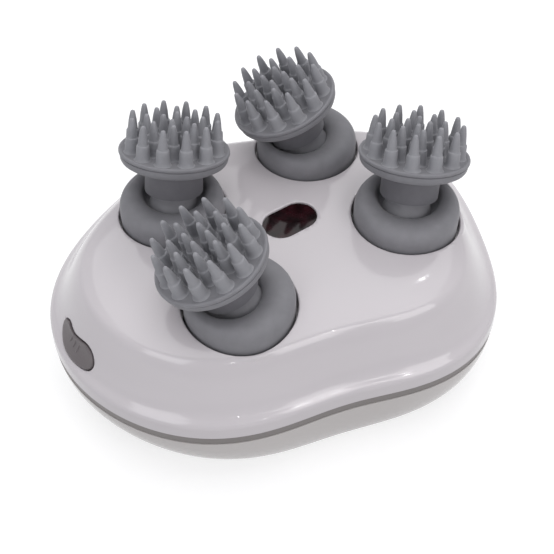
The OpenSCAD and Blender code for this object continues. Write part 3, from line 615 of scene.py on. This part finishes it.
for along, half in bar_places:
    rings = []
    for k in range(bar_rows):
        share = cos(pi / 2 * k / bar_rows)
        ring = []
        for i in range(bar_sides):
            a = 2 * pi * i / bar_sides
            x = middle.x + along + bar_half_w * share * cos(a)
            y = middle.y + half * share * sin(a)
            hit = cap_tree.ray_cast(button_place @ Vector((x, y, 60)),
                                    button_place.to_3x3() @ Vector((0, 0, -1)))[0]
            rise = bar_rise * sin(pi / 2 * k / bar_rows) - bar_sink
            ring.append(tuple(hit + button_place.to_3x3() @ Vector((0, 0, rise))))
        rings.append(ring)
    bars.append(ring_skin(rings))
button = make_piece("button_cap", *joined(bars), button_grey, "button_cap")
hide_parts("button")

# ---------------------------------------------------------------- Hubs
# Grey silicone over a hard core: a thick ring that turns in the well, with an off-centre bowl out of
# which the leaning stem rises. Two flats on the gear's shaft turn it.


def silicone(name, colour):
    """Matt silicone: a fine dusty grain, with sharp edges drawn paler as a painted highlight."""
    finish, tree, shader = new_finish(name, colour, 0.62)
    place = add_node(tree, "ShaderNodeTexCoord")
    dust = add_node(tree, "ShaderNodeTexNoise", scale=300.0, detail=6.0)
    tree.links.new(place.outputs["Object"], dust.inputs["Vector"])
    tint = add_node(tree, "ShaderNodeValToRGB")
    tint.color_ramp.elements[0].color = (*[c * 0.93 for c in colour], 1)
    tint.color_ramp.elements[1].color = (*[c * 1.07 for c in colour], 1)
    tint.color_ramp.elements[0].position = 0.3
    tint.color_ramp.elements[1].position = 0.7
    tree.links.new(dust.outputs["Fac"], tint.inputs["Fac"])
    # Painted highlight: edges and tips that stick out are drawn paler.
    form = add_node(tree, "ShaderNodeNewGeometry")
    edge_highlight_share = add_node(tree, "ShaderNodeMapRange", from_min=0.5, from_max=0.62, to_max=0.35)
    tree.links.new(form.outputs["Pointiness"], edge_highlight_share.inputs["Value"])
    edge_highlight = add_node(tree, "ShaderNodeMix", data_type="RGBA")
    edge_highlight.inputs["B"].default_value = (*[c * 1.7 for c in colour], 1)
    tree.links.new(edge_highlight_share.outputs["Result"], edge_highlight.inputs["Factor"])
    tree.links.new(tint.outputs["Color"], edge_highlight.inputs["A"])
    tree.links.new(edge_highlight.outputs["Result"], shader.inputs["Base Color"])
    fine = add_node(tree, "ShaderNodeTexNoise", scale=2600.0, detail=3.0)
    tree.links.new(place.outputs["Object"], fine.inputs["Vector"])
    bump = add_node(tree, "ShaderNodeBump", strength=0.12, distance=0.0001)
    tree.links.new(fine.outputs["Fac"], bump.inputs["Height"])
    tree.links.new(bump.outputs["Normal"], shader.inputs["Normal"])
    shader.inputs["Sheen Weight"].default_value = 0.12
    shader.inputs["Sheen Roughness"].default_value = 0.5
    return finish


silicone_grey = silicone("silicone_grey", (0.21, 0.207, 0.222))
hub_gap = 0.6
hub_r = opening_r - hub_gap
skirt_z = well_z + 0.5
cap_z = rim_z + 2
crest_z = cap_z + 3.4
bowl_r, bowl_shift, bowl_z = 8.0, 2.6, rim_z + 1.9
dish = 1.8
crest_share, crest_tip = 0.5, 0.35
outer_round, inner_round = 2 / 2.3, 2 / 1.8
lean_turn = 20.5
pivot_z = rim_z - 1.4
collar_at, collar_r = 6.9, 7.4
neck_r = collar_r - 1.8
leans = {"front": 137, "back": 137, "left": 44, "right": 44}
hub_sides = 120


def ring_of_hub(turn):
    """A ray of the hub from the bowl's middle outwards, as (distance from it, height)."""
    to_edge = -bowl_shift * cos(turn) + (hub_r ** 2 - (bowl_shift * sin(turn)) ** 2) ** 0.5
    crest = bowl_r + crest_share * (to_edge - bowl_r)
    high = crest_z - crest_tip * cos(turn)
    ray = [(to_edge - 0.6, skirt_z), (to_edge - 0.15, skirt_z + 0.15), (to_edge, skirt_z + 0.6),
           (to_edge, skirt_z + 3), (to_edge, cap_z - 1)]
    for k in range(13):
        a = pi / 2 * k / 12
        ray.append((crest + (to_edge - crest) * cos(a) ** outer_round,
                    cap_z + (high - cap_z) * sin(a) ** outer_round))
    foot = bowl_z + dish
    for k in range(1, 11):
        a = pi / 2 * (1 - k / 10)
        ray.append((crest - (crest - bowl_r) * cos(a) ** inner_round,
                    foot + (high - foot) * sin(a) ** inner_round))
    for k in range(1, 7):
        a = pi / 2 * k / 6
        ray.append((bowl_r - dish * (1 - cos(a)), foot - dish * sin(a)))
    ray.append((bowl_r - dish - 0.8, bowl_z))
    return ray


def leaning(lean):
    """The frame of a claw's stem over the hub's centre."""
    return (Matrix.Translation((0, 0, pivot_z)) @ Matrix.Rotation(radians(lean), 4, "Z")
            @ Matrix.Rotation(radians(lean_turn), 4, "Y"))


def turned(profile, sides):
    """Rings of a profile of (radius, height) turned round the z axis."""
    return [[(r * cos(2 * pi * i / sides), r * sin(2 * pi * i / sides), z) for i in range(sides)]
            for r, z in profile]


stem_r, stem_end = 3.6, 5.8
stem_profile = ((neck_r + 1.5, 1.2), (neck_r + 1.2, 2.4), (neck_r + 0.75, 3.2), (neck_r + 0.35, 4.1),
                (neck_r + 0.1, 5.0), (neck_r, 6.0), (neck_r, collar_at - 0.2), (neck_r - 0.2, collar_at),
                (stem_r, collar_at), (stem_r, collar_at + stem_end - 0.4),
                (stem_r - 0.4, collar_at + stem_end))


def hub_form(centre, lean):
    rays = [ring_of_hub(2 * pi * i / hub_sides) for i in range(hub_sides)]
    whole = Matrix.Translation((*centre, 0)) @ Matrix.Rotation(radians(lean), 4, "Z")
    rings = [[tuple(whole @ Vector((bowl_shift + ray[k][0] * cos(2 * pi * i / hub_sides),
                                    ray[k][0] * sin(2 * pi * i / hub_sides), ray[k][1])))
              for i, ray in enumerate(rays)] for k in range(len(rays[0]))]
    points, faces = ring_skin(rings)
    stem = Matrix.Translation((*centre, 0)) @ leaning(lean)
    more, skins = ring_skin([[tuple(stem @ Vector(p)) for p in ring] for ring in turned(stem_profile, 72)])
    return points + more, faces + [tuple(k + len(points) for k in skin) for skin in skins]


for name, centre in hub_places.items():
    hub = make_piece(f"hub_{name}_ring", *hub_form(centre, leans[name]), silicone_grey,
                     f"{name}_massager", 50)
    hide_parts(f"hub_{name}")

# ---------------------------------------------------------------- Claws
# Soft heads moulded in one silicone: a collar over the stem, a disc with a rolled lip, and 24 stepped
# pins in three rings. Each is pushed over its stem and comes off for washing. All are one silicone: the
# pins are drawn paler as painted light, and the collar darker as painted shade.
claw_r, claw_t, collar_h = 13.9, 4.0, 7.3
disc_z = collar_at + collar_h
face_z = disc_z + claw_t
face_sink = 0.25
claw_profile = ((stem_r + 0.05, collar_at), (collar_r - 0.2, collar_at),
                (collar_r - 0.05, collar_at + 0.07), (collar_r, collar_at + 0.22),
                (collar_r - 0.04, disc_z - 1.0), (collar_r + 0.05, disc_z - 0.4),
                (collar_r + 0.4, disc_z), (collar_r + 1.1, disc_z + 0.2), (claw_r - 2.2, disc_z + 0.5),
                (claw_r - 1.2, disc_z + 0.75), (claw_r - 0.7, disc_z + 1.1),
                (claw_r - 0.42, disc_z + 1.6), (claw_r - 0.32, disc_z + 2.2),
                (claw_r - 0.28, face_z - 1.25), (claw_r - 0.45, face_z - 1.18),
                (claw_r - 0.52, face_z - 1.08), (claw_r - 0.45, face_z - 0.98),
                (claw_r - 0.1, face_z - 0.88), (claw_r, face_z - 0.72), (claw_r, face_z - 0.36),
                (claw_r - 0.1, face_z - 0.12), (claw_r - 0.32, face_z), (claw_r - 0.65, face_z - 0.02),
                (claw_r - 1.0, face_z - 0.2), (claw_r - 1.6, face_z - face_sink),
                (8, face_z - face_sink), (4, face_z - face_sink))
pin_foot, pin_r, ledge_h, tip_h = 1.84, 1.7, 3.9, 8.8
pin_profile = ((pin_foot + 0.5, -0.1), (pin_foot + 0.16, 0.12), (pin_foot, 0.4), (pin_r, 0.9),
               (pin_r - 0.07, 2.4), (pin_r - 0.13, ledge_h - 0.3), (pin_r - 0.19, ledge_h - 0.1),
               (pin_r - 0.3, ledge_h), (pin_r - 0.38, ledge_h + 0.06), (pin_r - 0.44, ledge_h + 0.25),
               (pin_r - 0.56, ledge_h + 1.2), (pin_r - 0.7, ledge_h + 2.4), (pin_r - 0.9, ledge_h + 3.5),
               (0.66, tip_h - 0.75), (0.56, tip_h - 0.38), (0.42, tip_h - 0.12), (0.15, tip_h))
pin_rings = ((12, 10.8, 0), (8, 6.75, 12), (4, 2.8, 0))
pin_lean = 1.1


def claw_form(centre, lean, pick):
    """A whole claw. Each pin stands a hair's breadth out of true, as soft mouldings do."""
    whole = Matrix.Translation((*centre, 0)) @ leaning(lean)
    points, faces = ring_skin([[tuple(whole @ Vector(p)) for p in ring]
                               for ring in turned(claw_profile, claw_sides)])
    count = 0
    for number, radius, turn in pin_rings:
        for i in range(number):
            count += 1
            a = radians(turn + 360 * i / number)
            sway = Matrix.Rotation(radians(pin_lean * sin(7.3 * count + 2.1 * pick)), 4, "X")
            nod = Matrix.Rotation(radians(pin_lean * cos(5.1 * count + 3.7 * pick)), 4, "Y")
            foot = Matrix.Translation((radius * cos(a), radius * sin(a), face_z - face_sink))
            stand = whole @ foot @ sway @ nod
            rings = [[tuple(stand @ Vector(p)) for p in ring] for ring in turned(pin_profile, 28)]
            more, skins = ring_skin(rings)
            faces += [tuple(k + len(points) for k in skin) for skin in skins]
            points += more
    return points, faces


# The pins' paler tone is painted light and the collar's darker tone painted shade, on one silicone.
disc_silicone = silicone("disc_silicone", (0.195, 0.193, 0.208))
collar_painted_shade = silicone("collar_painted_shade", (0.13, 0.127, 0.14))
pin_painted_light = silicone("pin_painted_light", (0.265, 0.265, 0.283))
claw_sides, collar_rows = 144, 8
for pick, (name, centre) in enumerate(hub_places.items()):
    claw = make_piece(f"claw_{name}_head", *claw_form(centre, leans[name], pick), disc_silicone,
                      f"{name}_massager", 45)
    claw.data.materials.append(pin_painted_light)
    claw.data.materials.append(collar_painted_shade)
    # Pin faces take the painted-light tone, collar faces the painted-shade tone.
    for face in claw.data.polygons:
        first = min(face.vertices)
        if first > claw_sides * len(claw_profile) + 1:
            face.material_index = 1
        elif first < claw_sides * collar_rows:
            face.material_index = 2
    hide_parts(f"claw_{name}")

# ---------------------------------------------------------------- Gears
# Cream acetal gears moulded with their shafts, and a small machined brass pinion on the motor.
acetal = satin("acetal_cream", (0.72, 0.69, 0.60), 0.4, 700.0, 0.06)
dress(["gear_front", "gear_left", "gear_right", "gear_back", "central_gear"], acetal)
dress(["motor_pinion"], satin("pinion_brass", (0.72, 0.52, 0.22), 0.3, 2500.0, 0.1), 1.0)

# ---------------------------------------------------------------- Plates and seals
# Two light grey glass-filled nylon plates hold the gear train between them; black nitrile rings seal
# the shafts where they pass the wells.
nylon = satin("nylon_grey", (0.40, 0.40, 0.41), 0.55, 500.0, 0.2)
dress(["base_plate", "cover_plate"], nylon)
dress(["shaft_seals"], satin("seal_black", (0.02, 0.02, 0.021), 0.6, 900.0, 0.2))

# ---------------------------------------------------------------- Motor, axles and screws
# A flat drawn steel can with a ground shaft, ground steel axles pressed into the base plate, and long
# zinc-plated case screws.
steel = satin("plain_steel", (0.56, 0.56, 0.57), 0.3, 1200.0, 0.08)
dress(["motor", "motor_shaft", "hub_axles", "central_axle", "case_screws"], steel, 1.0)

# ---------------------------------------------------------------- Battery, boards and lights
# A shrink-wrapped lithium cell, three green circuit boards, the button's push switch and three red
# lights under the window.
dress(["battery"], satin("battery_wrap", (0.07, 0.16, 0.38), 0.3, 160.0, 0.15))
board_green = satin("board_green", (0.02, 0.12, 0.055), 0.35, 800.0, 0.1)
dress(["circuit_board", "led_board", "switch_board"], board_green)
dress(["leds"], satin("light_red", (0.42, 0.03, 0.03), 0.2, 600.0, 0.05))
dress(["tact_switch"], satin("switch_black", (0.03, 0.03, 0.03), 0.45, 900.0, 0.1))
